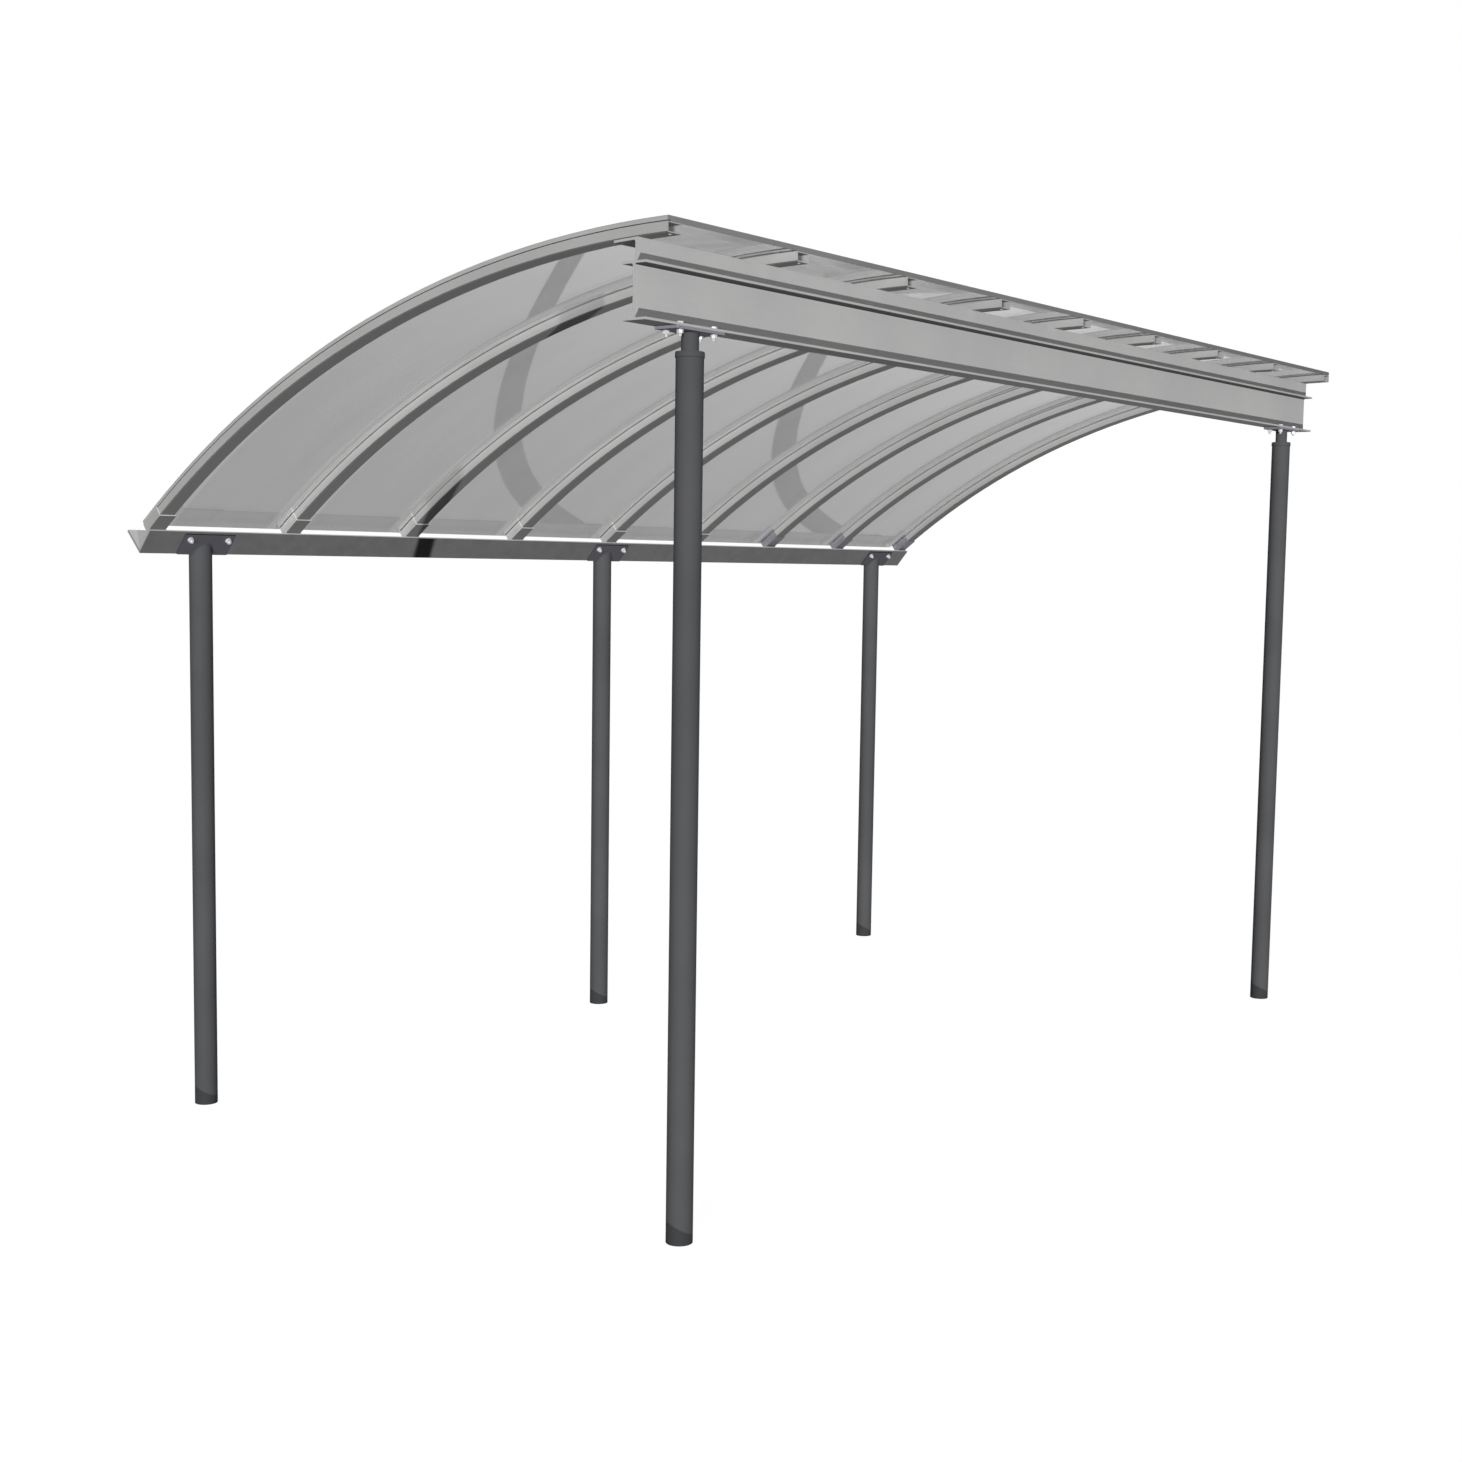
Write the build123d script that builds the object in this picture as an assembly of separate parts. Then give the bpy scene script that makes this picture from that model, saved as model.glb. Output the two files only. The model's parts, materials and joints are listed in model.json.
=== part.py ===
from build123d import *
import math
import os

# Lean-to bike shelter. Two tall front posts carry a deep beam, three short rear posts carry
# a gutter folded to a V, and nine curved hollow rafters hold eight bent sheets between them.
# Millimetres, +Z up, X along the shelter, open front towards -Y, posts ending at Z = 0.
# The origin is on the floor, in the middle of the shelter's length and depth.

# Plan and heights
post_spacing = 4000.0           # between the outer posts of a row
roof_overhang = 228.0           # roof's end faces, past the outer posts' axes
gutter_overhang = 7.0           # gutter's ends, past the roof's end faces
row_spacing = 2128.0            # front row to rear row, axis to axis
beam_soffit = 2498.0            # floor to the underside of the front beam
gutter_keel = 1881.0            # floor to the gutter's lower edge

# Posts
tube_diameter = 76.1
tube_wall = 3.2
slider_diameter = 48.3
slider_wall = 3.2
slider_show = 51.0              # inner tube seen between collar and head plate
slider_hidden = 300.0           # inner tube inside the collar and the post
collar_diameter = 80.0
collar_height = 16.0
collar_spigot = 40.0            # part of the collar pushed into the post
collar_bevel = 4.0
clearance = 0.3                 # between pieces that slide, nest or lie on a curve

# Head plates
head_plate_length = 200.0
front_plate_depth = 80.0
front_plate_thickness = 8.0
front_bolts_x = 140.0
front_bolts_y = 48.0
rear_plate_low = 4.0            # from the keel, up the gutter's front leg
rear_plate_high = 89.0
rear_plate_thickness = 6.0
rear_bolts_x = 150.0
rear_bolts_up = 67.5            # from the keel, up the gutter's front leg
bolt_hole = 13.0
plate_corner = 3.0

# Gutter, a plate folded to a V that is open at the top
gutter_thickness = 8.0
gutter_front_leg = 95.3
gutter_front_slope = 50.0       # degrees from level
gutter_rear_leg = 98.3
gutter_rear_slope = 47.0
gutter_fold_outside = 3.0
gutter_fold_inside = 6.0

# Front beam, one extruded profile: an I below and a channel open to the back above it
beam_depth = 209.5
beam_width = 80.0
beam_web = 7.5
beam_flange = 6.5
beam_channel = 59.5             # height of the channel above the I
channel_web = 7.0
channel_reach = 70.0            # top flange, behind the posts' centre line
beam_root = 6.0                 # fillets in the profile

# Arch of the roof
soffit_radius = 3652.0          # underside of the rafters
front_overhang = 112.0          # rafters' front ends, ahead of the front posts' centre line
rim_gap = 9.0                   # gutter's inner rim to the underside of the rafters
rafter_past_rim = 22.0          # along the arch
panel_past_rafter = 6.0

# Rafters
rafter_count = 9
rafter_width = 56.0
rafter_height = 28.0
rafter_wall = 3.0
rafter_corner = 3.0             # bevel along the lower corners

# Sheets and what holds them
gasket_inset = 1.0              # from the rafter's sides
gasket_thickness = 2.0
panel_thickness = 5.0
panel_joint = 8.0               # between two sheets, over the middle of a rafter
cover_width = 50.0
cover_top_width = 36.0
cover_height = 7.0
cover_spine = 5.0               # stands on the gasket, between the sheets
edge_width = 15.0               # profile that closes the roof's end, beside the outer sheet
edge_lip = 10.0                 # its lip over the sheet
edge_bevel = 2.0
trim_thickness = 2.0

# Shoes that hold the rafters' lower ends in the gutter
shoe_wall = 3.0
shoe_length = 91.0
shoe_cheek_drop = 17.0          # from the gutter's front leg to the rear edge of the cheeks
shoe_toe = 65.0                 # from the gutter's rim, down the front leg
shoe_heel = 2.0
steel_shoes = 3                 # the last shoes, towards +X, are of steel


def polar(length, degrees):
    """A (y, z) step at an angle from +Y, rising with positive angles."""
    a = math.radians(degrees)
    return Vector(0, length * math.cos(a), length * math.sin(a))


# Places worked out from the sizes above
front_leg = polar(1, 180 - gutter_front_slope)
rear_leg = polar(1, gutter_rear_slope)
into_front = polar(1, 90 - gutter_front_slope)
into_rear = polar(1, 90 + gutter_rear_slope)
gutter_lip = max(gutter_rear_leg * rear_leg.Y, 0)

front_row = (front_overhang - row_spacing - gutter_lip) / 2
rear_row = front_row + row_spacing
keel = Vector(0, rear_row, gutter_keel)
rim = keel + front_leg * gutter_front_leg + into_front * gutter_thickness

roof_length = post_spacing + 2 * roof_overhang
gutter_length = roof_length + 2 * gutter_overhang
rafter_pitch = (roof_length - rafter_width) / (rafter_count - 1)

beam_top = beam_soffit + beam_depth
channel_front = front_row - beam_web / 2 - channel_web
collar_top = beam_soffit - front_plate_thickness - slider_show
post_top = collar_top - collar_height

seat_radius = soffit_radius - clearance
rafter_top = soffit_radius + rafter_height
gasket_seat = rafter_top + clearance
panel_seat = gasket_seat + gasket_thickness + clearance
cover_seat = panel_seat + panel_thickness + clearance
roof_top = cover_seat + cover_height

outer_posts = {"left": -post_spacing / 2, "right": post_spacing / 2}
rear_posts = {**outer_posts, "middle": 0.0}
rafter_places = [(k - (rafter_count - 1) / 2) * rafter_pitch for k in range(rafter_count)]
edge_inside = roof_length / 2 - edge_width
sheet_joints = [-edge_inside, *rafter_places[1:-1], edge_inside]


def arch_centre():
    """Centre of the circle that clears the gutter's rim and rests on the beam's front top edge."""
    front = Vector(0, channel_front, beam_top)
    chord = rim - front
    far = soffit_radius - rim_gap
    along = (seat_radius ** 2 - far ** 2 + chord.length ** 2) / (2 * chord.length)
    below = math.sqrt(seat_radius ** 2 - along ** 2)
    unit = chord.normalized()
    return front + unit * along + Vector(0, unit.Z, -unit.Y) * below


centre = arch_centre()


def arch_angle(point):
    """Angle of a point round the arch, in degrees from the crown, positive towards the gutter."""
    return math.degrees(math.atan2(point.Y - centre.Y, point.Z - centre.Z))


def arc_degrees(length):
    """The angle that a length along the rafters' underside covers."""
    return math.degrees(length / soffit_radius)


front_end = math.degrees(math.asin((front_row - front_overhang - centre.Y) / soffit_radius))
sheet_start = front_end + arc_degrees(trim_thickness)
rafter_end = arch_angle(rim) + arc_degrees(rafter_past_rim)
panel_end = rafter_end + arc_degrees(panel_past_rafter)
shoe_start = rafter_end - arc_degrees(shoe_length)


def arch_point(radius, angle):
    a = math.radians(angle)
    return centre + Vector(0, radius * math.sin(a), radius * math.cos(a))


def arch_plane(angle):
    """Section plane of the arch: its x runs along X, its y outwards from the centre."""
    a = math.radians(angle)
    return Plane(origin=centre, x_dir=(1, 0, 0), z_dir=(0, -math.cos(a), math.sin(a)))


def bend(section, start, end):
    """Sweep a flat section, drawn at its radius, round the arch."""
    axis = Axis(centre, (-1, 0, 0))
    return revolve(arch_plane(start) * section, axis=axis, revolution_arc=end - start)


def bent_strip(x, radius, width, height, start, end):
    """Bend a flat strip whose underside lies at a radius."""
    return bend(Pos(x, radius + height / 2) * Rectangle(width, height), start, end)


def bar(outline, length, x=0.0):
    """Extrude a closed outline of (0, y, z) points along X, with its middle at x."""
    face = make_face(Polyline(*outline, close=True))
    return Pos(x - length / 2, 0, 0) * extrude(face, length, dir=(1, 0, 0))


def tube(x, y, bottom, top, diameter, wall):
    ring = Circle(diameter / 2) - Circle(diameter / 2 - wall)
    return Pos(x, y, bottom) * extrude(ring, top - bottom)


def save(node, shape):
    export_step(shape, f"parts/{node}.step")


# Front posts

def front_post(x):
    return tube(x, front_row, 0, post_top, tube_diameter, tube_wall)


def front_post_slider(x):
    top = beam_soffit - front_plate_thickness
    bottom = collar_top - slider_hidden
    return tube(x, front_row, bottom, top, slider_diameter, slider_wall)


def front_post_collar(x):
    """A bush that caps the post and guides the inner tube."""
    bore_in_post = tube_diameter / 2 - tube_wall
    cap = extrude(Circle(collar_diameter / 2), collar_height)
    rim_edge = cap.edges().group_by(Axis.Z)[-1]
    cap = chamfer(rim_edge, collar_bevel, collar_bevel / 3)
    spigot = extrude(Circle(bore_in_post - clearance), -collar_spigot)
    bore = Cylinder(slider_diameter / 2 + clearance, 2 * (collar_height + collar_spigot))
    return Pos(x, front_row, post_top) * (cap + spigot - bore)


def front_bolt_holes(x, depth):
    """The holes that a head plate and the beam's bottom flange share, through a depth each way."""
    pattern = GridLocations(front_bolts_x, front_bolts_y, 2, 2)
    return [Pos(x, front_row, beam_soffit) * spot * Cylinder(bolt_hole / 2, 2 * depth) for spot in pattern]


def front_head_plate(x):
    outline = RectangleRounded(head_plate_length, front_plate_depth, plate_corner)
    plate = Pos(x, front_row, beam_soffit) * extrude(outline, -front_plate_thickness)
    return plate - front_bolt_holes(x, 2 * front_plate_thickness)


# Front beam

def beam_section():
    """The profile's outline, with the top flange on the chord of the rafters' underside."""
    half = beam_width / 2
    web_front = front_row - beam_web / 2
    web_back = front_row + beam_web / 2
    channel_back = channel_front + channel_web
    low = beam_soffit
    middle = beam_top - beam_channel
    reach = front_row + channel_reach
    front_top = Vector(0, channel_front, beam_top)
    back_top = arch_point(seat_radius, math.degrees(math.asin((reach - centre.Y) / seat_radius)))
    chord = (back_top - front_top).normalized()
    under = Vector(0, chord.Z, -chord.Y) * beam_flange
    corner = front_top + under + chord * (channel_web / chord.Y)
    roots = [
        Vector(0, web_front, low + beam_flange), Vector(0, web_back, low + beam_flange),
        Vector(0, web_front, middle - beam_flange), Vector(0, web_back, middle - beam_flange),
        Vector(0, channel_back, middle), corner]
    outline = [
        (0, front_row - half, low), (0, front_row + half, low), (0, front_row + half, low + beam_flange),
        roots[1], roots[3], (0, front_row + half, middle - beam_flange), (0, front_row + half, middle),
        roots[4], roots[5], back_top + under, back_top, front_top, (0, channel_front, middle),
        (0, front_row - half, middle), (0, front_row - half, middle - beam_flange),
        roots[2], roots[0], (0, front_row - half, low + beam_flange)]
    face = make_face(Polyline(*outline, close=True))
    at_roots = [v for v in face.vertices() if min((Vector(*v) - r).length for r in roots) < clearance]
    return fillet(at_roots, beam_root)


def front_beam():
    beam = Pos(-roof_length / 2, 0, 0) * extrude(beam_section(), roof_length, dir=(1, 0, 0))
    for x in outer_posts.values():
        beam -= front_bolt_holes(x, 2 * beam_flange)
    return beam


# Gutter and what carries it

def in_gutter(up, inward):
    """A point near the front leg: a distance up its outer face from the keel, and one inwards."""
    return keel + front_leg * up + into_front * inward


def rear_bolt_holes(x, depth):
    """The two holes that a rear head plate and the gutter's front leg share."""
    face = Plane(origin=in_gutter(rear_bolts_up, 0), x_dir=(1, 0, 0), z_dir=into_front)
    places = [x - rear_bolts_x / 2, x + rear_bolts_x / 2]
    return [face * Pos(place, 0) * Cylinder(bolt_hole / 2, 2 * depth) for place in places]


def gutter_fold():
    """Inner corner of the fold, at the plate's thickness from both outer faces."""
    half_angle = math.radians((180 - gutter_front_slope - gutter_rear_slope) / 2)
    up = (front_leg + rear_leg).normalized()
    return keel + up * (gutter_thickness / math.sin(half_angle))


def gutter_beam():
    t = gutter_thickness
    fold = gutter_fold()
    front_tip = keel + front_leg * gutter_front_leg
    rear_tip = keel + rear_leg * gutter_rear_leg
    outline = [front_tip, keel, rear_tip, rear_tip + into_rear * t, fold, front_tip + into_front * t]
    face = make_face(Polyline(*outline, close=True))
    face = fillet(face.vertices().sort_by_distance(keel)[:1], gutter_fold_outside)
    face = fillet(face.vertices().sort_by_distance(fold)[:1], gutter_fold_inside)
    gutter = Pos(-gutter_length / 2, 0, 0) * extrude(face, gutter_length, dir=(1, 0, 0))
    for x in rear_posts.values():
        gutter -= rear_bolt_holes(x, 2 * t)
    return gutter


def rear_head_plate(x):
    """A flat plate welded across the post's top and bolted under the gutter's front leg."""
    under = -rear_plate_thickness
    outline = [in_gutter(rear_plate_low, 0), in_gutter(rear_plate_high, 0),
               in_gutter(rear_plate_high, under), in_gutter(rear_plate_low, under)]
    plate = bar(outline, head_plate_length, x)
    plate = fillet(plate.edges().filter_by(Axis((0, 0, 0), into_front)), plate_corner)
    return plate - rear_bolt_holes(x, 2 * rear_plate_thickness)


def rear_post(x):
    """A tube cut to a saddle: its front meets the plate, its back follows the gutter's rear leg."""
    high = gutter_keel + tube_diameter * 2
    reach = tube_diameter * 3
    spread = math.sin(math.radians(gutter_front_slope + gutter_rear_slope))
    notch = keel - (front_leg * clearance + rear_leg * rear_plate_thickness) * (1 / spread)
    outline = [notch, notch + front_leg * reach, notch + (front_leg + rear_leg) * reach, notch + rear_leg * reach]
    return tube(x, rear_row, 0, high, tube_diameter, tube_wall) - bar(outline, reach, x)


# Rafters and their shoes

def rafter(x):
    outside = Rectangle(rafter_width, rafter_height)
    outside = chamfer(outside.vertices().group_by(Axis.Y)[0], rafter_corner)
    inside = Rectangle(rafter_width - 2 * rafter_wall, rafter_height - 2 * rafter_wall)
    middle = soffit_radius + rafter_height / 2
    return bend(Pos(x, middle) * (outside - inside), front_end, rafter_end)


def rafter_shoe(x):
    """A U that cradles the rafter's end, with cheeks that go down to a foot inside the gutter."""
    inner_width = rafter_width + 2 * clearance
    outer_width = inner_width + 2 * shoe_wall
    floor_radius = seat_radius - shoe_wall
    cradle = bent_strip(x, floor_radius, outer_width, rafter_top - floor_radius, shoe_start, rafter_end)
    past = arc_degrees(shoe_length)
    room = bent_strip(x, seat_radius, inner_width, rafter_height * 2, shoe_start - past, rafter_end + past)

    face = gutter_thickness
    rim_up = gutter_front_leg
    heel = in_gutter(rim_up - shoe_heel, face)
    toe = in_gutter(rim_up - shoe_toe, face)
    toe_back = toe + into_front * shoe_cheek_drop
    end_foot = arch_point(floor_radius, rafter_end)
    end_out = (end_foot - centre).normalized()
    short = shoe_cheek_drop - (end_foot - heel).dot(into_front)
    end_back = end_foot + end_out * (short / end_out.dot(into_front))
    inside_cradle = arch_point(seat_radius + rafter_height / 2, arch_angle(heel))
    cheeks = bar([heel, toe, toe_back, end_back, inside_cradle], outer_width, x)
    cheeks -= bar(cheek_room(heel, toe), inner_width, x)
    return cradle + cheeks - room


def cheek_room(heel, toe):
    """Space between the cheeks, from the foot plate up to the cradle's floor."""
    lift = into_front * shoe_wall
    down = (toe - heel).normalized() * shoe_toe
    up = into_front * (shoe_cheek_drop * 4)
    return [heel - down + lift, toe + down + lift, toe + down + up, heel - down + up]


def rafter_shoes(places):
    return Compound(children=[rafter_shoe(x) for x in places])


# Sheets, gaskets and covers

def glazing_gaskets():
    """Flat strips between the rafters and the sheets."""
    width = rafter_width - 2 * gasket_inset
    strips = [bent_strip(x, gasket_seat, width, gasket_thickness, sheet_start, rafter_end) for x in rafter_places]
    return Compound(children=strips)


def roof_panel(left, right):
    """A sheet between the middles of two joints."""
    width = right - left - panel_joint
    return bent_strip((left + right) / 2, panel_seat, width, panel_thickness, sheet_start, panel_end)


def cover_strip(x):
    """A cap over the joint of two sheets, whose spine stands on the gasket."""
    half = cover_width / 2
    top = cover_top_width / 2
    cap = make_face(Polyline((-half, cover_seat), (half, cover_seat), (top, roof_top), (-top, roof_top), close=True))
    spine_height = cover_seat - panel_seat
    spine = Pos(0, panel_seat + spine_height / 2) * Rectangle(cover_spine, spine_height)
    return bend(Pos(x, 0) * (cap + spine), sheet_start, rafter_end)


def edge_profile(side):
    """The cover at the roof's end. It runs on past the trim's end, and its lip holds the sheet."""
    outer = side * roof_length / 2
    height = roof_top - panel_seat
    body = Pos(outer - side * edge_width / 2, panel_seat + height / 2) * Rectangle(edge_width, height)
    body = chamfer(body.vertices().sort_by_distance((outer, roof_top, 0))[:1], edge_bevel)
    lip = Pos(side * (edge_inside - edge_lip / 2), cover_seat + cover_height / 2) * Rectangle(edge_lip, cover_height)
    return bend(body, front_end, rafter_end) + bend(lip, sheet_start, rafter_end)


def front_edge_trim():
    """The strip that closes the sheets' front ends, between the two edge profiles."""
    height = roof_top - gasket_seat
    section = Pos(0, gasket_seat + height / 2) * Rectangle(2 * (edge_inside - clearance), height)
    return extrude(arch_plane(front_end) * section, -trim_thickness)


def build():
    os.makedirs("parts", exist_ok=True)
    for side, x in outer_posts.items():
        save(f"front_post_{side}", front_post(x))
        save(f"front_post_slider_{side}", front_post_slider(x))
        save(f"front_post_collar_{side}", front_post_collar(x))
        save(f"front_head_plate_{side}", front_head_plate(x))
    for side, x in rear_posts.items():
        save(f"rear_post_{side}", rear_post(x))
        save(f"rear_head_plate_{side}", rear_head_plate(x))
    save("front_beam", front_beam())
    save("gutter_beam", gutter_beam())

    covers = [edge_profile(-1), *map(cover_strip, rafter_places[1:-1]), edge_profile(1)]
    for k, x in enumerate(rafter_places):
        save(f"rafter_{k + 1}", rafter(x))
        save(f"cover_strip_{k + 1}", covers[k])
    for k, left in enumerate(sheet_joints[:-1]):
        save(f"roof_panel_{k + 1}", roof_panel(left, sheet_joints[k + 1]))
    save("glazing_gaskets", glazing_gaskets())
    save("front_edge_trim", front_edge_trim())
    save("rafter_shoes_aluminium", rafter_shoes(rafter_places[:-steel_shoes]))
    save("rafter_shoes_steel", rafter_shoes(rafter_places[-steel_shoes:]))


build()
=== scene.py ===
import json
import math

import bmesh
import bpy
from mathutils import Matrix, Vector

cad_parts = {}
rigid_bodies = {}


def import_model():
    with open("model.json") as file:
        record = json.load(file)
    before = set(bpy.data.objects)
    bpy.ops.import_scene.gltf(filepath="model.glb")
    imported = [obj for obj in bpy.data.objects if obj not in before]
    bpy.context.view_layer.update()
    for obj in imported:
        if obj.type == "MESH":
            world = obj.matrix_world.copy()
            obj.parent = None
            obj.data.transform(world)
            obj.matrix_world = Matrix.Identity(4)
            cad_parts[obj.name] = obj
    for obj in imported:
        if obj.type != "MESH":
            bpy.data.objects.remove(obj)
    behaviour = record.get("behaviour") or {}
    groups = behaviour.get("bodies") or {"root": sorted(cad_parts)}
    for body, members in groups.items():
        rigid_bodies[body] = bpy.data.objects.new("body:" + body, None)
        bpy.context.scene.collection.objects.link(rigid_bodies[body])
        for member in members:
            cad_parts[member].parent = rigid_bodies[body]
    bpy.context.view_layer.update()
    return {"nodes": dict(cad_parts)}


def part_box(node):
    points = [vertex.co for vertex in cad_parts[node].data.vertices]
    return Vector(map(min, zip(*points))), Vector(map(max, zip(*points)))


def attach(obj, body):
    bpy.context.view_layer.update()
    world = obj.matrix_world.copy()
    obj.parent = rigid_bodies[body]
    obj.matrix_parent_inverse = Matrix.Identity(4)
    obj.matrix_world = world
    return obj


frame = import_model()
nodes = frame["nodes"]
print("frame loaded:", len(nodes), "nodes")


# Places taken from the frame, in metres

def middleOf(node):
    low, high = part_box(node)
    return (Vector(low) + Vector(high)) / 2


frontPosts = {side: middleOf(f"front_post_{side}") for side in ("left", "right")}
rearPosts = {side: middleOf(f"rear_post_{side}") for side in ("left", "middle", "right")}
rafterCount = sum(name.removeprefix("rafter_").isdigit() for name in nodes)
rafterPlaces = [middleOf(f"rafter_{k}").x for k in range(1, rafterCount + 1)]
frontRow = frontPosts["left"].y
rearRow = rearPosts["left"].y
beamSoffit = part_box("front_beam")[0][2]
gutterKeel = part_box("gutter_beam")[0][2]
gutterSlope = math.radians(50.0)  # of its front leg

# The circle that the rafters follow: soffit is the radius of their undersides
arch = {"behindFrontRow": -0.1318, "height": -0.9424, "soffit": 3.652, "rafter": 0.028}
archCentre = Vector((0, frontRow + arch["behindFrontRow"], arch["height"]))
rafterTop = arch["soffit"] + arch["rafter"]
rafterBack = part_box("rafter_1")[1][1]
rafterEnd = math.asin((rafterBack - archCentre.y) / rafterTop) * arch["soffit"]  # length along the arch


# Camera, set off from the foot of the front left post

camera = {
    "fromFoot": (-3.9685, -3.3019, 1.8802),
    "yaw": 52.735, "pitch": 5.227, "roll": 0.926,
    "sensor": 36, "lens": 47.01, "shift": (-0.0254, 0.0052), "clip": (0.05, 200),
}
yaw, pitch, roll = (math.radians(camera[key]) for key in ("yaw", "pitch", "roll"))
forward = Vector((math.sin(yaw) * math.cos(pitch), math.cos(yaw) * math.cos(pitch), -math.sin(pitch)))
level = Vector((math.cos(yaw), -math.sin(yaw), 0))
upright = level.cross(forward)
right = level * math.cos(roll) + upright * math.sin(roll)
up = upright * math.cos(roll) - level * math.sin(roll)

camData = bpy.data.cameras.new("camera")
camData.sensor_width = camera["sensor"]
camData.lens = camera["lens"]
camData.shift_x, camData.shift_y = camera["shift"]
camData.clip_start, camData.clip_end = camera["clip"]
camObject = bpy.data.objects.new("camera", camData)
foot = Vector((frontPosts["left"].x, frontRow, 0))
turn = Matrix((right, up, -forward)).transposed().to_4x4()
camObject.matrix_world = Matrix.Translation(foot + Vector(camera["fromFoot"])) @ turn
bpy.context.scene.collection.objects.link(camObject)
bpy.context.scene.camera = camObject
bpy.context.scene.view_settings.view_transform = "Standard"
print("camera placed")


# Node helpers

def connect(tree, value, socket):
    if isinstance(value, bpy.types.NodeSocket):
        tree.links.new(value, socket)
    else:
        socket.default_value = value


def addNode(tree, kind, settings=None, **inputs):
    made = tree.nodes.new(kind)
    for key, value in (settings or {}).items():
        setattr(made, key, value)
    for key, value in inputs.items():
        number = key.removeprefix("in")  # in0 and in1 are sockets by number, the others by name
        connect(tree, value, made.inputs[int(number) if number.isdigit() else key])
    return made


def newMaterial(name):
    material = bpy.data.materials.new(name)
    material.use_nodes = True
    tree = material.node_tree
    tree.nodes.clear()
    shader = addNode(tree, "ShaderNodeBsdfPrincipled")
    addNode(tree, "ShaderNodeOutputMaterial", Surface=shader.outputs["BSDF"])
    return material, tree, shader


def objectPlace(tree):
    return addNode(tree, "ShaderNodeTexCoord").outputs["Object"]


def axisOf(tree, vector, axis):
    return addNode(tree, "ShaderNodeSeparateXYZ", Vector=vector).outputs[axis]


def stretched(tree, vector, scale):
    return addNode(tree, "ShaderNodeVectorMath", {"operation": "MULTIPLY"}, in0=vector, in1=scale).outputs[0]


def noise(tree, vector, scale, detail=4.0, rough=0.5):
    made = addNode(tree, "ShaderNodeTexNoise", Vector=vector, Scale=scale, Detail=detail, Roughness=rough)
    return made.outputs["Fac"]


def ranged(tree, value, low, high, fromLow=0.0, fromHigh=1.0):
    made = addNode(tree, "ShaderNodeMapRange", Value=value)
    made.inputs["From Min"].default_value = fromLow
    made.inputs["From Max"].default_value = fromHigh
    made.inputs["To Min"].default_value = low
    made.inputs["To Max"].default_value = high
    return made.outputs[0]


def below(tree, value, limit, soft):  # 1 below the limit, 0 above it
    return ranged(tree, value, 1, 0, limit - soft, limit + soft)


def blended(tree, factor, first, second):
    made = addNode(tree, "ShaderNodeMix", {"data_type": "RGBA"}, in0=factor)
    for socket, value in ((made.inputs[6], first), (made.inputs[7], second)):  # its two colours
        connect(tree, value if isinstance(value, bpy.types.NodeSocket) else (*value, 1), socket)
    return made.outputs[2]


def maths(tree, operation, first, second=0.5):
    return addNode(tree, "ShaderNodeMath", {"operation": operation}, in0=first, in1=second).outputs[0]


def alongArch(tree):  # X along the shelter, Y along the arch, Z out from its centre
    split = addNode(tree, "ShaderNodeSeparateXYZ", Vector=objectPlace(tree))
    y = maths(tree, "SUBTRACT", split.outputs["Y"], archCentre.y)
    z = maths(tree, "SUBTRACT", split.outputs["Z"], archCentre.z)
    squares = maths(tree, "ADD", maths(tree, "MULTIPLY", y, y), maths(tree, "MULTIPLY", z, z))
    arc = maths(tree, "MULTIPLY", maths(tree, "ARCTAN2", y, z), arch["soffit"])
    made = addNode(tree, "ShaderNodeCombineXYZ", X=split.outputs["X"], Y=arc, Z=maths(tree, "SQRT", squares))
    return made.outputs[0]


# Painted shade on the faces that look down, where the look has one
def paintUnderShade(tree, base, look, full=-0.55, none=-0.35):
    if "under" not in look:
        return base
    normal = addNode(tree, "ShaderNodeNewGeometry").outputs["True Normal"]
    return blended(tree, ranged(tree, axisOf(tree, normal, "Z"), 1, 0, full, none), base, look["under"])


def roughened(tree, shader, value, rough):
    tree.links.new(ranged(tree, value, *rough, 0.3, 0.7), shader.inputs["Roughness"])


def bumped(tree, shader, height, strength, distance):
    bump = addNode(tree, "ShaderNodeBump", Strength=strength, Distance=distance, Height=height)
    tree.links.new(bump.outputs[0], shader.inputs["Normal"])


# Powder-coated steel: posts, head plates and the front trim

def powderCoat(name, look):
    material, tree, shader = newMaterial(name)
    places = addNode(tree, "ShaderNodeTexCoord")
    place = places.outputs["Object"]
    across = places.outputs["Generated"]  # 0 to 1 over each tube
    cloud = noise(tree, place, look["cloud"], 3)
    speck = noise(tree, place, look["speck"], 2)
    base = blended(tree, ranged(tree, cloud, 0, 1, 0.35, 0.65), look["dark"], look["light"])

    # painted shadow on the feet, up to a slanted, slightly ragged line
    lean = maths(tree, "SUBTRACT", axisOf(tree, across, "X"), axisOf(tree, across, "Y"))
    tilt = maths(tree, "MULTIPLY", lean, look["footTilt"])
    ragged = ranged(tree, speck, -look["footRagged"], look["footRagged"], 0.3, 0.7)
    height = maths(tree, "ADD", maths(tree, "ADD", axisOf(tree, place, "Z"), tilt), ragged)
    footShadowMask = below(tree, height, look["footHeight"], look["footSoft"])
    base = paintUnderShade(tree, blended(tree, footShadowMask, base, look["footShadowColour"]), look)

    tree.links.new(base, shader.inputs["Base Color"])
    roughened(tree, shader, speck, look["rough"])
    bumped(tree, shader, noise(tree, place, look["peel"], 2, 0.6), look["bump"], 0.0004)
    shader.inputs["Specular IOR Level"].default_value = look["specular"]
    return material


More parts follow.
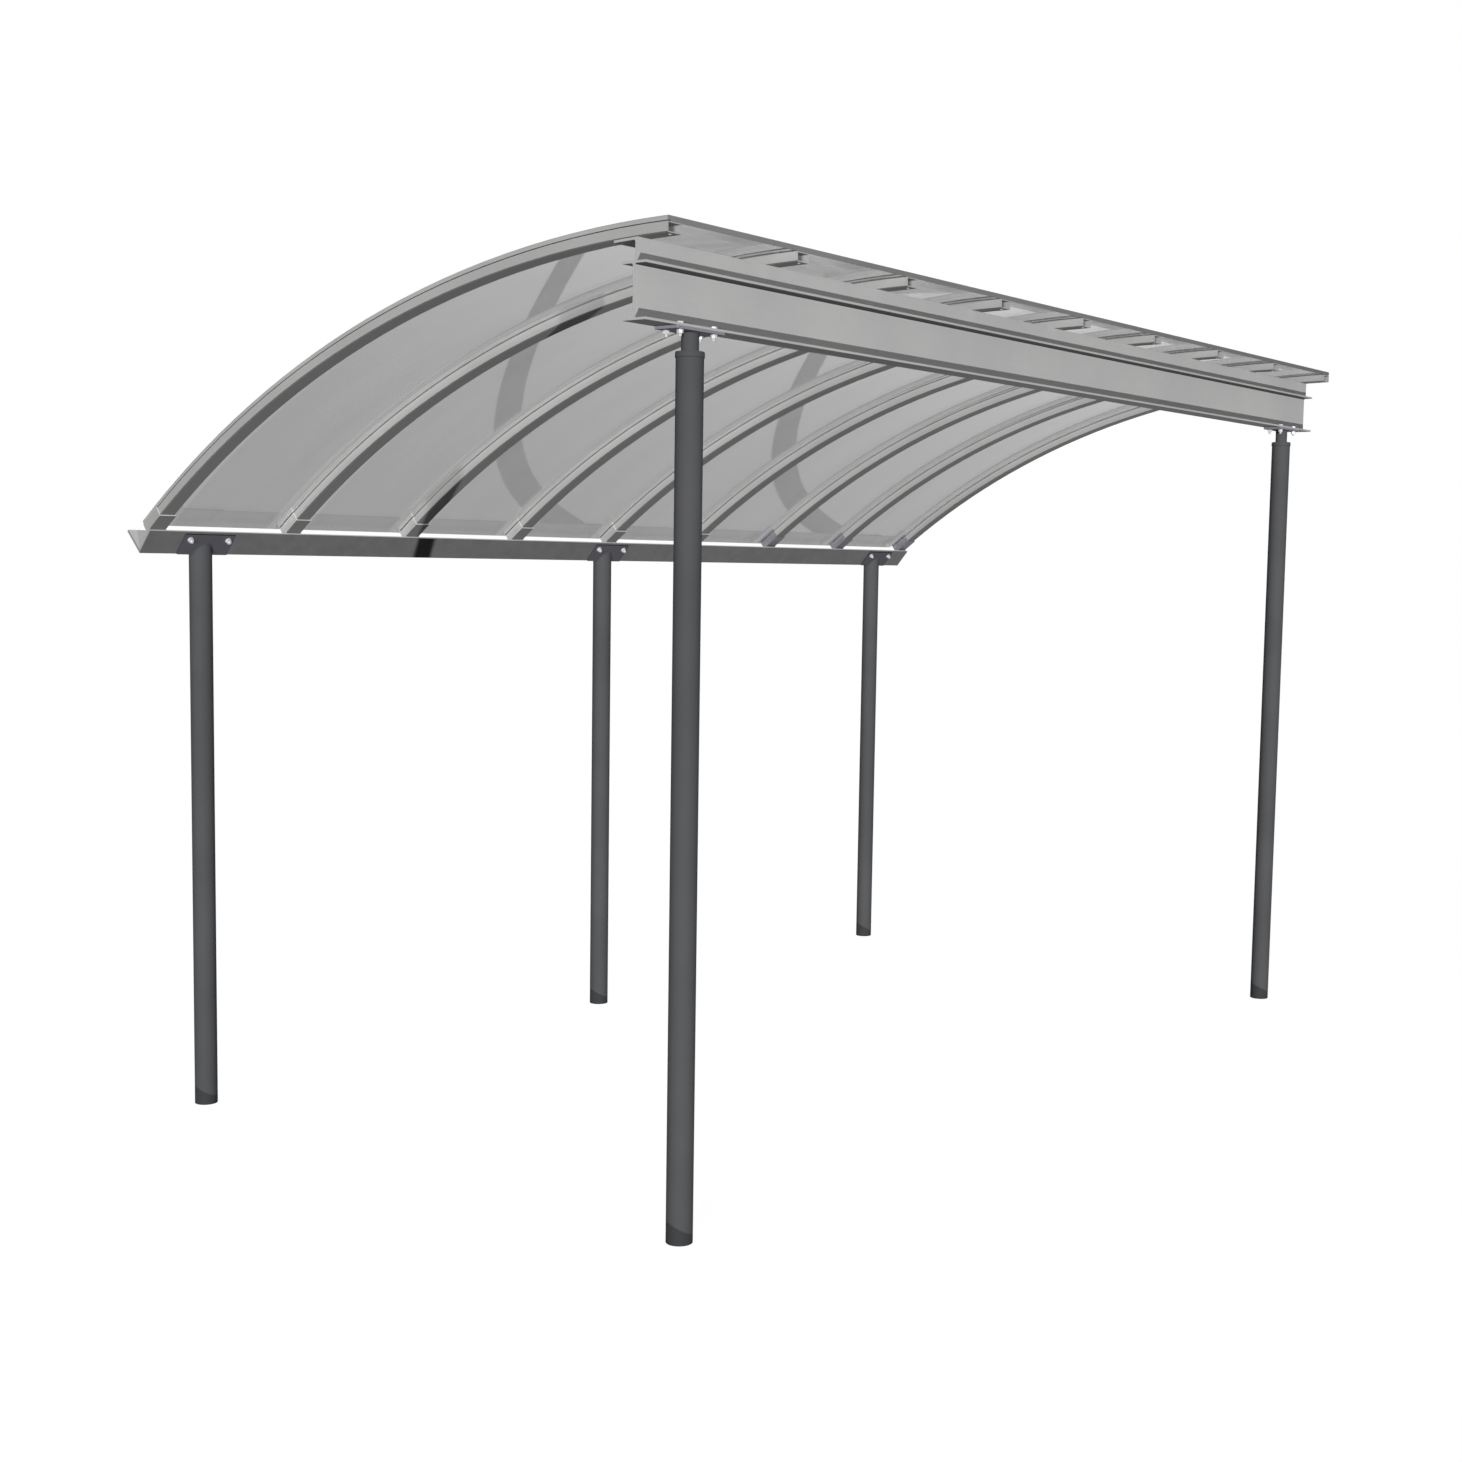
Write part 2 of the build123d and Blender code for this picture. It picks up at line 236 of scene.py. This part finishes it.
postLook = {
    "dark": (0.09, 0.0915, 0.0965), "light": (0.105, 0.1065, 0.1115), "rough": (0.49, 0.63), "specular": 0.01,
    "cloud": 3.1, "speck": 240, "peel": 750, "bump": 0.18,
    # the foot values set a painted shadow over the lowest part of each post
    "footHeight": 0.045, "footTilt": 0.028, "footSoft": 0.002, "footRagged": 0.0008,
    "footShadowColour": (0.056, 0.057, 0.061),
}
plateLook = dict(postLook, dark=(0.055, 0.053, 0.062), light=(0.066, 0.064, 0.074))
# the colour for downward faces is painted shade
headLook = dict(postLook, dark=(0.2, 0.195, 0.217), light=(0.23, 0.224, 0.25), under=(0.055, 0.055, 0.06))
trimLook = dict(postLook, dark=(0.5, 0.5, 0.5), light=(0.56, 0.56, 0.56))
postPaint = powderCoat("postPaint", postLook)
platePaint = powderCoat("platePaint", plateLook)  # rear
headPaint = powderCoat("headPaint", headLook)  # front
trimPaint = powderCoat("trimPaint", trimLook)


# Mill-finish aluminium: beam, gutter, rafters, covers and six of the shoes

# Painted shade on the outer skin of the gutter's front leg
def shadedLegFace(tree, place, base, stain, face):
    inwards = (0, math.sin(gutterSlope), math.cos(gutterSlope))
    keel = (0, rearRow, gutterKeel)
    offKeel = addNode(tree, "ShaderNodeVectorMath", {"operation": "SUBTRACT"}, in0=place, in1=keel)
    offKeel = offKeel.outputs[0]
    depth = addNode(tree, "ShaderNodeVectorMath", {"operation": "DOT_PRODUCT"}, in0=offKeel, in1=inwards)
    ragged = ranged(tree, stain, -face["ragged"], face["ragged"])
    legShadeMask = ranged(tree, maths(tree, "ADD", depth.outputs["Value"], ragged), 1, 0, *face["skin"])
    tone = blended(tree, ranged(tree, stain, 0, 1, 0.35, 0.7), face["dark"], face["light"])
    return blended(tree, legShadeMask, base, tone)


def millAluminium(name, look):
    material, tree, shader = newMaterial(name)
    fine, slow = look["streaks"]
    if look["along"] == "arch":
        place, streaks = alongArch(tree), (fine, slow, fine)
    else:
        place, streaks = objectPlace(tree), (slow, fine, fine)
    lines = noise(tree, stretched(tree, place, streaks), 1.0, 3, 0.6)
    cloud = noise(tree, place, look["cloud"], 5, 0.55)
    stain = noise(tree, place, look["spots"], 6, 0.62)
    base = blended(tree, ranged(tree, cloud, 0, 1, 0.35, 0.65), look["dark"], look["light"])
    stained = maths(tree, "MULTIPLY", ranged(tree, stain, 0, 1, 0.56, 0.74), look["stain"])
    base = blended(tree, stained, base, look["stainColour"])
    lined = maths(tree, "MULTIPLY", ranged(tree, lines, 0, 1, 0.5, 0.8), look["lines"])
    base = paintUnderShade(tree, blended(tree, lined, base, look["lineColour"]), look)
    if "cut" in look:  # the shoes' bright sawn edge at the front
        arc = axisOf(tree, alongArch(tree), "Y")
        sawn = ranged(tree, arc, 1, 0, look["cut"] + 0.0002, look["cut"] + 0.0008)
        base = blended(tree, sawn, base, look["cutColour"])
    # painted shade on the gutter's front leg
    if "face" in look:
        base = shadedLegFace(tree, place, base, stain, look["face"])
    tree.links.new(base, shader.inputs["Base Color"])
    roughened(tree, shader, lines, look["rough"])
    shader.inputs["Metallic"].default_value = look["metallic"]
    shader.inputs["Specular IOR Level"].default_value = look["specular"]
    bumped(tree, shader, lines, look["bump"], 0.0003)
    return material


plainLook = {
    "along": "x", "dark": (0.36, 0.36, 0.36), "light": (0.395, 0.395, 0.39), "cloud": 2.3,
    "stain": 0.16, "stainColour": (0.31, 0.31, 0.31), "spots": 19,
    "lines": 0.22, "lineColour": (0.46, 0.46, 0.46), "streaks": (520, 0.9),
    "rough": (0.41, 0.58), "metallic": 0.0, "specular": 0.04, "bump": 0.25,
}
# the colour for downward faces is painted shade
beamLook = dict(plainLook, under=(0.032, 0.032, 0.032))
gutterLook = dict(
    plainLook, dark=(0.48, 0.48, 0.48), light=(0.53, 0.53, 0.525), specular=0.03,
    # face is painted shade on the front leg's outer skin, darker than the rest of the gutter
    face={
        "dark": (0.11, 0.11, 0.11), "light": (0.13, 0.13, 0.13),
        "skin": (0.0008, 0.0024), "ragged": 0.0006,  # depths from the outer plane
    })
# the colour for downward faces is painted shade, here and on the covers
rafterLook = dict(
    plainLook, along="arch", dark=(0.375, 0.375, 0.37), light=(0.415, 0.415, 0.41), specular=0.02,
    stainColour=(0.35, 0.35, 0.345), lineColour=(0.5, 0.5, 0.495), under=(0.128, 0.128, 0.128))
coverLook = dict(rafterLook, dark=(0.52, 0.52, 0.515), light=(0.6, 0.6, 0.6), under=(0.4, 0.4, 0.4))
shoeLength = 0.091
shoeLook = dict(
    rafterLook, along="x", light=(0.48, 0.48, 0.475), rough=(0.38, 0.55),
    cut=rafterEnd - shoeLength, cutColour=(0.8, 0.8, 0.79))
beamMetal = millAluminium("beamMetal", beamLook)
rafterMetal = millAluminium("rafterMetal", rafterLook)
gutterMetal = millAluminium("gutterMetal", gutterLook)
coverMetal = millAluminium("coverMetal", coverLook)
shoeMetal = millAluminium("shoeMetal", shoeLook)


# Zinc-plated steel: the last three shoes, bolts and screws

def zincSteel(name, look):
    material, tree, shader = newMaterial(name)
    place = objectPlace(tree)
    flakes = addNode(tree, "ShaderNodeTexVoronoi", Vector=place, Scale=look["spangle"]).outputs["Color"]
    grey = addNode(tree, "ShaderNodeSeparateColor", Color=flakes).outputs[0]
    cloud = noise(tree, place, look["cloud"], 5, 0.6)
    tone = ranged(tree, maths(tree, "MULTIPLY", grey, cloud), 0, 1, 0.1, 0.5)
    base = paintUnderShade(tree, blended(tree, tone, look["dark"], look["light"]), look)
    tree.links.new(base, shader.inputs["Base Color"])
    roughened(tree, shader, cloud, look["rough"])
    shader.inputs["Metallic"].default_value = look["metallic"]
    bumped(tree, shader, noise(tree, place, look["grain"], 2), look["bump"], 0.0003)
    return material


# the colour for downward faces is painted shade
steelLook = {
    "dark": (0.2, 0.2, 0.225), "light": (0.27, 0.27, 0.3), "under": (0.075, 0.073, 0.085),
    "rough": (0.42, 0.6), "metallic": 0.15, "spangle": 160, "cloud": 40, "grain": 900, "bump": 0.12,
}
boltLook = {
    "dark": (0.66, 0.665, 0.69), "light": (0.8, 0.805, 0.83),
    "rough": (0.32, 0.5), "metallic": 0.1, "spangle": 900, "cloud": 40, "grain": 900, "bump": 0.12,
}
shoeSteel = zincSteel("shoeSteel", steelLook)
boltZinc = zincSteel("boltZinc", boltLook)


# Smoke-tinted sheets, with painted reflection and painted light beside the rafters: a bright metal band under
# their side edges and a clearer band next to it

def tintedSheet(name, look):
    material, tree, shader = newMaterial(name)
    place = alongArch(tree)
    haze = noise(tree, stretched(tree, place, look["haze"]), 1.0, 4, 0.6)
    tint = blended(tree, ranged(tree, haze, 0, 1, 0.3, 0.7), look["dark"], look["light"])
    bays = maths(tree, "DIVIDE", axisOf(tree, place, "X"), look["pitch"])
    share = maths(tree, "ABSOLUTE", maths(tree, "SUBTRACT", bays, maths(tree, "ROUND", bays)))
    offRafter = maths(tree, "MULTIPLY", share, look["pitch"])
    lowerHalf = below(tree, axisOf(tree, place, "Z"), look["middle"], 0.0005)
    # painted reflection: a bright metal band under the sheet beside each rafter
    reflectionBand = maths(tree, "MULTIPLY", below(tree, offRafter, look["reflectionBand"], 0.0005), lowerHalf)
    lightBand = below(tree, offRafter, look["lightBand"], 0.001)  # painted light: the sheet is clearer in a band beside each rafter
    tree.links.new(blended(tree, reflectionBand, tint, look["reflectionBandColour"]), shader.inputs["Base Color"])
    tree.links.new(reflectionBand, shader.inputs["Metallic"])
    clear = ranged(tree, haze, look["alpha"] - look["spread"], look["alpha"] + look["spread"], 0.3, 0.7)
    clear = maths(tree, "SUBTRACT", clear, maths(tree, "MULTIPLY", lightBand, look["lightBandAlpha"]))
    tree.links.new(maths(tree, "MAXIMUM", clear, reflectionBand), shader.inputs["Alpha"])
    tree.links.new(ranged(tree, reflectionBand, look["rough"], look["reflectionBandRough"]), shader.inputs["Roughness"])
    shader.inputs["IOR"].default_value = look["ior"]
    bumped(tree, shader, noise(tree, stretched(tree, place, look["wave"]), 1.0, 2), look["bump"], 0.004)
    return material


sheetLook = {
    "dark": (0.055, 0.055, 0.055), "light": (0.075, 0.075, 0.075), "alpha": 0.49, "spread": 0.012,
    "rough": 0.035, "ior": 1.66, "haze": (9, 1.3, 9), "wave": (3.2, 1.1, 3.2), "bump": 0.05,
    "pitch": rafterPlaces[1] - rafterPlaces[0],
    "middle": 3.6851,  # radius of the middle of the sheets' thickness
    # the bright metal band is painted reflection of the rafters' sides
    "reflectionBand": 0.056, "reflectionBandColour": (0.9, 0.9, 0.9), "reflectionBandRough": 0.18,
    "lightBand": 0.084, "lightBandAlpha": 0.05,  # the painted light band and the painted reflection band are both measured from the rafter's middle
}
sheetTint = tintedSheet("sheetTint", sheetLook)


# Rubber: black on the two outer rafters, weathered grey between them

def gasketRubber(name, look):
    material, tree, shader = newMaterial(name)
    place = alongArch(tree)
    bloom = noise(tree, place, look["bloom"], 4, 0.6)
    mottle = ranged(tree, bloom, 0, 1, 0.45, 0.75)
    black = blended(tree, mottle, look["dark"], look["light"])
    grey = blended(tree, mottle, look["greyDark"], look["greyLight"])
    fromMiddle = maths(tree, "ABSOLUTE", axisOf(tree, place, "X"))
    between = below(tree, fromMiddle, look["blackFrom"], 0.002)
    tree.links.new(blended(tree, between, black, grey), shader.inputs["Base Color"])
    roughened(tree, shader, bloom, look["rough"])
    bumped(tree, shader, noise(tree, place, look["grain"], 2), look["bump"], 0.0004)
    return material


rubberLook = {
    "dark": (0.012, 0.012, 0.013), "light": (0.035, 0.035, 0.036), "blackFrom": -rafterPlaces[0],
    "greyDark": (0.2, 0.2, 0.195), "greyLight": (0.26, 0.26, 0.255),
    "rough": (0.55, 0.8), "bloom": 130, "grain": 1100, "bump": 0.2,
}
rubber = gasketRubber("rubber", rubberLook)
shadeRingRubber = gasketRubber("shadeRingRubber", dict(rubberLook, blackFrom=0.1))  # painted shade ring, black on both posts

finishes = {
    "front_post_": postPaint, "front_head_plate_": headPaint, "front_beam": beamMetal,
    "rear_post_": postPaint, "rear_head_plate_": platePaint, "gutter_beam": gutterMetal,
    "rafter_": rafterMetal, "rafter_shoes_aluminium": shoeMetal, "rafter_shoes_steel": shoeSteel,
    "roof_panel_": sheetTint, "glazing_gaskets": rubber, "cover_strip_": coverMetal,
    "front_edge_trim": trimPaint,
}
for name, thing in nodes.items():
    start = max((key for key in finishes if name.startswith(key)), key=len)
    thing.data.materials.clear()
    thing.data.materials.append(finishes[start])
print("materials set")


# Mesh helpers

def makeObject(name, mesh, material):
    thing = bpy.data.objects.new(name, mesh)
    bpy.context.scene.collection.objects.link(thing)
    mesh.materials.append(material)
    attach(thing, "root")


def ringsInto(mesh, rings, place, closed=False):
    loops = [[mesh.verts.new(place @ Vector(point)) for point in ring] for ring in rings]
    for lower, upper in zip(loops, loops[1:]):
        count = len(lower)
        for i in range(count):
            j = (i + 1) % count
            mesh.faces.new((lower[i], lower[j], upper[j], upper[i]))
    if closed:
        mesh.faces.new(list(reversed(loops[0])))
        mesh.faces.new(loops[-1])


def shaded(mesh, name, angle=35):
    data = bpy.data.meshes.new(name)
    bmesh.ops.recalc_face_normals(mesh, faces=mesh.faces)
    for edge in mesh.edges:
        edge.smooth = len(edge.link_faces) == 2 and edge.calc_face_angle(0) < math.radians(angle)
    for face in mesh.faces:
        face.smooth = True
    mesh.to_mesh(data)
    mesh.free()
    return data


def circle(radius, z, count=48):
    angles = [math.tau * i / count for i in range(count)]
    return [(radius * math.cos(a), radius * math.sin(a), z) for a in angles]


def hexagon(flats, z, drop=0.0, side=1, count=48):  # drop is how far the corners fall away from the face
    points = []
    faceEdge = flats / 2 * 0.97
    for i in range(count):
        angle = math.tau * i / count
        reach = flats / 2 / math.cos((angle + math.pi / 6) % (math.pi / 3) - math.pi / 6)
        over = max(reach - faceEdge, 0) * drop
        points.append((reach * math.cos(angle), reach * math.sin(angle), z - side * over))
    return points


def tubeRing(middle, sideways, upwards, radius, sides):
    angles = [math.tau * k / sides for k in range(sides)]
    return [middle + (sideways * math.cos(a) + upwards * math.sin(a)) * radius for a in angles]


def facing(origin, axis, spin=0.0):
    turned = Vector((0, 0, 1)).rotation_difference(axis).to_matrix().to_4x4()
    return Matrix.Translation(origin) @ turned @ Matrix.Rotation(spin, 4, "Z")


# Bolts through the head plates

bolt = {
    "radius": 0.005, "pitch": 0.0015, "flats": 0.016, "head": 0.0064, "nut": 0.0088,
    "washer": 0.002, "washerRadius": 0.0102, "nutSpin": 1.7, "chamfer": 0.5,
    "bearing": 0.46, "face": 0.47, "dish": 0.2,  # radii, as shares of the flats
    "nutBore": 1.02, "nutMouth": 1.12, "washerBore": 1.08,  # the rest are shares of the thread's radius
    "start": 0.86, "root": 0.88, "tip": 0.8,
    "lip": 0.0004, "dip": 0.0003, "mouthDepth": 0.0009, "sunk": 0.0005,
}


def headInto(mesh, place):
    flats, high = bolt["flats"], bolt["head"]
    rings = [
        circle(flats * bolt["bearing"], 0), hexagon(flats, bolt["lip"]), hexagon(flats, high, bolt["chamfer"]),
        circle(flats * bolt["face"], high), circle(flats * bolt["dish"], high - bolt["dip"])]
    ringsInto(mesh, rings, place, closed=True)


def nutInto(mesh, place):
    flats, high, bore = bolt["flats"], bolt["nut"], bolt["radius"] * bolt["nutBore"]
    face, chamfer = flats * bolt["face"], bolt["chamfer"]
    rings = [
        circle(bore, 0), circle(face, 0), hexagon(flats, 0, chamfer, -1), hexagon(flats, high, chamfer),
        circle(face, high), circle(bore * bolt["nutMouth"], high), circle(bore, high - bolt["mouthDepth"]),
        circle(bore, 0)]
    ringsInto(mesh, rings, place)


def washerInto(mesh, place):
    outer, high, bore = bolt["washerRadius"], bolt["washer"], bolt["radius"] * bolt["washerBore"]
    edge = high / 5
    rings = [
        circle(bore, 0), circle(outer - edge, 0), circle(outer, edge), circle(outer, high - edge),
        circle(outer - edge, high), circle(bore, high), circle(bore, 0)]
    ringsInto(mesh, rings, place)


def threadInto(mesh, place, end, count=24):
    radius, pitch, start = bolt["radius"], bolt["pitch"], -bolt["sunk"]
    turns = int((end - start) / pitch)
    rings = [circle(radius * bolt["start"], start, count)]
    for step in range(turns * 2 + 1):
        reach = radius if step % 2 else radius * bolt["root"]
        ring = []
        for i in range(count):
            angle = math.tau * i / count
            z = min(start + pitch * (step / 2 + i / count), end - bolt["lip"])
            ring.append((reach * math.cos(angle), reach * math.sin(angle), z))
        rings.append(ring)
    rings.append(circle(radius * bolt["tip"], end, count))
    ringsInto(mesh, rings, place, closed=True)


def boltThrough(name, top, axis, grip, spin, tail):
    mesh = bmesh.new()
    headInto(mesh, facing(top, axis, spin))
    beneath = facing(top - axis * grip, -axis, -spin * bolt["nutSpin"])
    washerInto(mesh, beneath)
    nutInto(mesh, beneath @ Matrix.Translation((0, 0, bolt["washer"])))
    threadInto(mesh, beneath, bolt["washer"] + bolt["nut"] + tail)
    makeObject(name, shaded(mesh, name), boltZinc)


frontBolts = {
    "across": 0.07, "deep": 0.024, "flange": 0.0065, "plate": 0.008, "tail": 0.008,
    "spin": 0.2, "nextSpin": 0.4,
}
for side, post in frontPosts.items():
    for k, (dx, dy) in enumerate(((-1, -1), (1, -1), (-1, 1), (1, 1))):
        offset = Vector((dx * frontBolts["across"], dy * frontBolts["deep"], frontBolts["flange"]))
        top = Vector((post.x, frontRow, beamSoffit)) + offset
        grip = frontBolts["flange"] + frontBolts["plate"]
        spin = frontBolts["nextSpin"] * k + frontBolts["spin"]
        boltThrough(f"front_bolt_{side}_{k + 1}", top, Vector((0, 0, 1)), grip, spin, frontBolts["tail"])

rearBolts = {
    "across": 0.075, "up": 0.0675, "gutter": 0.008, "plate": 0.006, "tail": 0.006,
    "spin": 0.3, "nextSpin": 0.5,
}
legUp = Vector((0, -math.cos(gutterSlope), math.sin(gutterSlope)))
legIn = Vector((0, math.sin(gutterSlope), math.cos(gutterSlope)))
for side, post in rearPosts.items():
    for k, dx in enumerate((-1, 1)):
        keel = Vector((post.x + dx * rearBolts["across"], rearRow, gutterKeel))
        top = keel + legUp * rearBolts["up"] + legIn * rearBolts["gutter"]
        grip = rearBolts["gutter"] + rearBolts["plate"]
        spin = rearBolts["nextSpin"] * k + rearBolts["spin"]
        boltThrough(f"rear_bolt_{side}_{k + 1}", top, legIn, grip, spin, rearBolts["tail"])
print("bolts made")


# Weld beads where tubes meet plates

weld = {
    "slider": 0.0483 / 2, "post": 0.0761 / 2,  # radii of the tubes
    "radius": 0.0024, "ripple": 0.14, "steps": 120, "sides": 10, "drop": 0.0008, "ends": 0.02,
}


def beadAlong(name, points, closed):
    mesh = bmesh.new()
    count = len(points)
    rings = []
    for i, point in enumerate(points):
        before = points[i - 1] if i or closed else point
        after = points[(i + 1) % count] if i + 1 < count or closed else point
        run = (after - before).normalized()
        side = run.cross(Vector((0, 0, 1))).normalized()
        size = weld["radius"] * (1 + weld["ripple"] * math.cos(i * math.tau / 3))  # swells every third step
        rings.append(tubeRing(point, side, side.cross(run), size, weld["sides"]))
    if closed:
        rings.append(rings[0])
    ringsInto(mesh, rings, Matrix.Identity(4), closed=not closed)
    bmesh.ops.remove_doubles(mesh, verts=mesh.verts, dist=1e-6)
    makeObject(name, shaded(mesh, name, angle=80), postPaint)


underPlate = beamSoffit - frontBolts["plate"] - weld["drop"]
for side, post in frontPosts.items():
    middle = Vector((post.x, frontRow, underPlate))
    ring = tubeRing(middle, Vector((1, 0, 0)), Vector((0, 1, 0)), weld["slider"], weld["steps"])
    beadAlong(f"front_weld_{side}", ring, True)
for side, post in rearPosts.items():
    path = []
    for i in range(weld["steps"] + 1):
        a = -math.pi * (weld["ends"] + (1 - 2 * weld["ends"]) * i / weld["steps"])
        dx, dy = weld["post"] * math.cos(a), weld["post"] * math.sin(a)
        rise = -dy * math.tan(gutterSlope) - rearBolts["plate"] / math.cos(gutterSlope)
        path.append(Vector((post.x + dx, rearRow + dy, gutterKeel + rise)))
    beadAlong(f"rear_weld_{side}", path, False)

# Dark rings as painted shade where the front posts meet their collars, set in by part of their own thickness
shadeRing = {"below": 0.0151, "radius": 0.0400, "thick": 0.0009, "setIn": 0.6, "steps": 72, "sides": 8}
for side, post in frontPosts.items():
    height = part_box(f"front_post_collar_{side}")[1][2] - shadeRing["below"]
    mesh = bmesh.new()
    rings = []
    for i in range(shadeRing["steps"] + 1):
        a = math.tau * i / shadeRing["steps"]
        out = Vector((math.cos(a), math.sin(a), 0))
        core = Vector((post.x, frontRow, height)) + out * (shadeRing["radius"] - shadeRing["thick"] * shadeRing["setIn"])
        rings.append(tubeRing(core, out, Vector((0, 0, 1)), shadeRing["thick"], shadeRing["sides"]))
    ringsInto(mesh, rings, Matrix.Identity(4))
    bmesh.ops.remove_doubles(mesh, verts=mesh.verts, dist=1e-6)
    shadeRingMesh = shaded(mesh, f"collar_seam_{side}", angle=80)
    makeObject(f"collar_seam_{side}", shadeRingMesh, shadeRingRubber)
print("welds and seams made")


# Button-head screws under the rafters' front ends

screw = {
    "fromEnd": 0.0155, "radius": 0.0048, "height": 0.0026, "spin": 0.3,
    "dome": (0, 0.35, 0.7, 1.0, 1.2),  # angles of its rings
    "socket": 0.0032, "taper": 0.97, "socketTop": 0.95, "socketFloor": 0.3,
}
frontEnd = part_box("rafter_1")[0][1]
angle = math.asin((frontEnd + screw["fromEnd"] - archCentre.y) / arch["soffit"])
outward = Vector((0, math.sin(angle), math.cos(angle)))
for k, x in enumerate(rafterPlaces, start=1):
    mesh = bmesh.new()
    seat = Vector((x, archCentre.y, archCentre.z)) + outward * arch["soffit"]
    place = facing(seat, -outward, screw["spin"] * k)
    rings = [circle(screw["radius"] * math.cos(t), screw["height"] * math.sin(t)) for t in screw["dome"]]
    rings.append(hexagon(screw["socket"], screw["height"] * screw["socketTop"]))
    rings.append(hexagon(screw["socket"] * screw["taper"], screw["height"] * screw["socketFloor"]))
    ringsInto(mesh, rings, place, closed=True)
    makeObject(f"rafter_screw_{k}", shaded(mesh, f"rafter_screw_{k}"), boltZinc)
print("screws made")


# Floor and world, white to the camera and in reflections, dark to the object

def seenRays(tree):
    rays = addNode(tree, "ShaderNodeLightPath").outputs
    mirrored = maths(tree, "MAXIMUM", rays["Is Glossy Ray"], rays["Is Transmission Ray"])
    return maths(tree, "MAXIMUM", rays["Is Camera Ray"], mirrored)


def paleFloor(look):
    material = bpy.data.materials.new("floorPaint")
    material.use_nodes = True
    tree = material.node_tree
    tree.nodes.clear()
    seen = seenRays(tree)
    tone = blended(tree, noise(tree, objectPlace(tree), look["cloud"], 4), look["dark"], look["light"])
    shader = addNode(tree, "ShaderNodeBsdfDiffuse", Color=blended(tree, seen, look["bounce"], tone))
    strength = maths(tree, "MULTIPLY", seen, look["glow"])
    glow = addNode(tree, "ShaderNodeEmission", Color=tone, Strength=strength)
    both = addNode(tree, "ShaderNodeAddShader", in0=shader.outputs[0], in1=glow.outputs[0])
    addNode(tree, "ShaderNodeOutputMaterial", Surface=both.outputs[0])
    material.cycles.emission_sampling = "NONE"
    return material


floorLook = {
    "size": 160.0, "cloud": 1.4, "dark": (0.345, 0.345, 0.345), "light": (0.355, 0.355, 0.355),
    "bounce": (0.08, 0.08, 0.08), "glow": 2.74,  # the glow brings the tone up to white
}
half = floorLook["size"] / 2
corners = [(-half, -half, 0), (half, -half, 0), (half, half, 0), (-half, half, 0)]
floorMesh = bpy.data.meshes.new("floor")
floorMesh.from_pydata(corners, [], [(0, 1, 2, 3)])
floorMesh.materials.append(paleFloor(floorLook))
floorObject = bpy.data.objects.new("floor", floorMesh)
bpy.context.scene.collection.objects.link(floorObject)

skyLook = {"light": 0.11, "shown": 1.0}
world = bpy.data.worlds.new("studio")
bpy.context.scene.world = world
world.use_nodes = True
sky = world.node_tree
sky.nodes.clear()
strength = ranged(sky, seenRays(sky), skyLook["light"], skyLook["shown"])
background = addNode(sky, "ShaderNodeBackground", Color=(1, 1, 1, 1), Strength=strength)
addNode(sky, "ShaderNodeOutputWorld", Surface=background.outputs[0])


# Lamps. Each one lights only its own pieces, and only some pieces shade it

def named(*starts):
    return [thing for name, thing in nodes.items() if name.startswith(starts)]


def onlyThese(name, things):
    group = bpy.data.collections.new(name)
    for thing in things:
        group.objects.link(thing)
    return group


def allBut(name, things):
    group = onlyThese(name, things)
    for entry in group.collection_objects:
        entry.light_linking.link_state = "EXCLUDE"
    return group


def addLamp(name, kind, towards):
    lamp = bpy.data.objects.new(name, bpy.data.lights.new(name, kind))
    lamp.rotation_mode = "QUATERNION"
    lamp.rotation_quaternion = Vector(towards).to_track_quat("-Z", "Y")
    bpy.context.scene.collection.objects.link(lamp)
    return lamp


def softLamp(name, look, unlit):
    lamp = addLamp(name, "AREA", Vector(look["aim"]) - Vector(look["place"]))
    lamp.location = look["place"]
    lamp.data.shape = "RECTANGLE"
    lamp.data.size = lamp.data.size_y = look["size"]
    lamp.data.energy = look["watts"]
    lamp.light_linking.receiver_collection = allBut(name + "Lit", unlit)
    return lamp


def sunLamp(name, look, lit, shadedBy=()):
    lamp = addLamp(name, "SUN", look["towards"])
    lamp.data.energy = look["strength"]
    lamp.data.angle = math.radians(look["angle"])
    lamp.light_linking.receiver_collection = onlyThese(name + "Lit", lit)
    if shadedBy:
        lamp.light_linking.blocker_collection = onlyThese(name + "Shades", shadedBy)


keyLight = {"place": (-25.1, -11.7, 1.2), "aim": (0, 0, 1.8), "size": 5.0, "watts": 6400}
backLight = {"place": (22.0, 17.0, 8.0), "aim": (0, 0, 1.8), "size": 5.0, "watts": 5800}  # back and right
lowLight = {"towards": (0.386, 0.83, 0.60), "strength": 2.95, "angle": 0.4}  # front posts' shadows behind
soffitLight = dict(lowLight, strength=2.2)  # the same light on the rafters, past the beam
topLight = {"towards": (0.20, 0.40, -1.0), "strength": 2.2, "angle": 4.0}  # the gutter's rim and inside
postLight = {"towards": (0.766, 0.643, -0.03), "strength": 3.2, "angle": 2.0}

gutter = named("gutter_beam")
fittings = ("front_bolt_", "rear_bolt_", "front_weld_", "rear_weld_", "collar_seam_")
posts = named("front_post_", "rear_post_")
posts += [thing for thing in bpy.data.objects if thing.name.startswith(fittings)]
keyLamp = softLamp("keyLamp", keyLight, gutter + posts)
keyLamp.light_linking.blocker_collection = allBut("keyShades", named("front_beam"))  # past it to the rafters
softLamp("backLamp", backLight, [floorObject] + named("roof_panel_", "glazing_gaskets"))
plates = named("front_head_plate_", "rear_head_plate_")
sunLamp("lowLight", lowLight, named("front_beam") + plates + gutter, list(nodes.values()))
sunLamp("soffitLight", soffitLight, named("rafter_"), named("front_post_left"))
sunLamp("topLight", topLight, gutter, gutter)
sunLamp("postLight", postLight, posts)
print("stage set")
